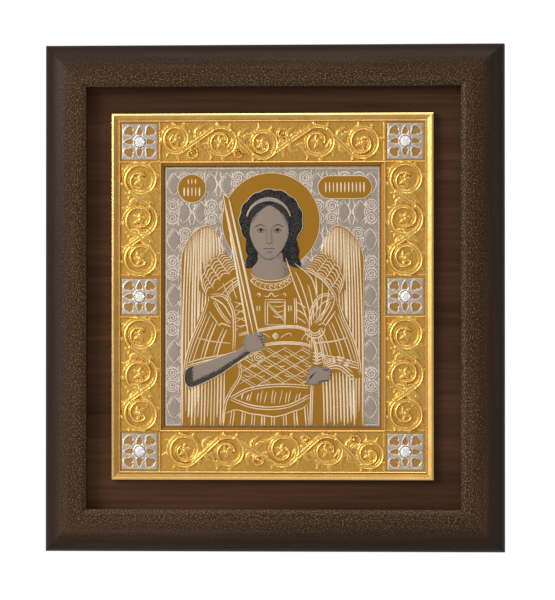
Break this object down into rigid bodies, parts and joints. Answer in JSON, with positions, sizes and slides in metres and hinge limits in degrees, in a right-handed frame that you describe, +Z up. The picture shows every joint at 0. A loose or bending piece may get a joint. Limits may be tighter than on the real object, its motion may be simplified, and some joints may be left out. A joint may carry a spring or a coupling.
{
  "type": "framed icon panel",
  "caption": "Dark wooden frame round a board with a gilded scroll border plate, square rosette tiles with clear stones, and a silver relief picture of a winged figure.",
  "frame": {"origin": "middle of the panel's flat back, where it touches the wall", "axes": "+Y into the wall, out of the flat back, so the picture faces -Y; +Z up the picture; +X to the right as one looks at the picture"},
  "size_m": [0.205, 0.0173, 0.226],
  "materials": {
    "frame_wood": "dark stained hardwood moulding, satin lacquer, gilt rubbed off along the sight edge",
    "board_wood": "dark stained board, fine horizontal grain, matt",
    "gilded_metal": "bright gilding over stamped brass, stippled ground",
    "silvered_metal": "engraved silver plating with gilded areas, grey flesh and black hair",
    "clear_stone": "clear faceted crystal"
  },
  "bodies": {
    "root": {"frame_rail_top": "frame_wood", "frame_rail_bottom": "frame_wood", "frame_rail_left": "frame_wood", "frame_rail_right": "frame_wood", "board": "board_wood", "gold_border": "gilded_metal", "picture_plate": "silvered_metal", "rosette_tile_top_left": "silvered_metal", "rosette_tile_top_right": "silvered_metal", "rosette_tile_middle_left": "silvered_metal", "rosette_tile_middle_right": "silvered_metal", "rosette_tile_bottom_left": "silvered_metal", "rosette_tile_bottom_right": "silvered_metal", "stone_top_left": "clear_stone", "stone_top_right": "clear_stone", "stone_middle_left": "clear_stone", "stone_middle_right": "clear_stone", "stone_bottom_left": "clear_stone", "stone_bottom_right": "clear_stone"}
  },
  "joints": []
}
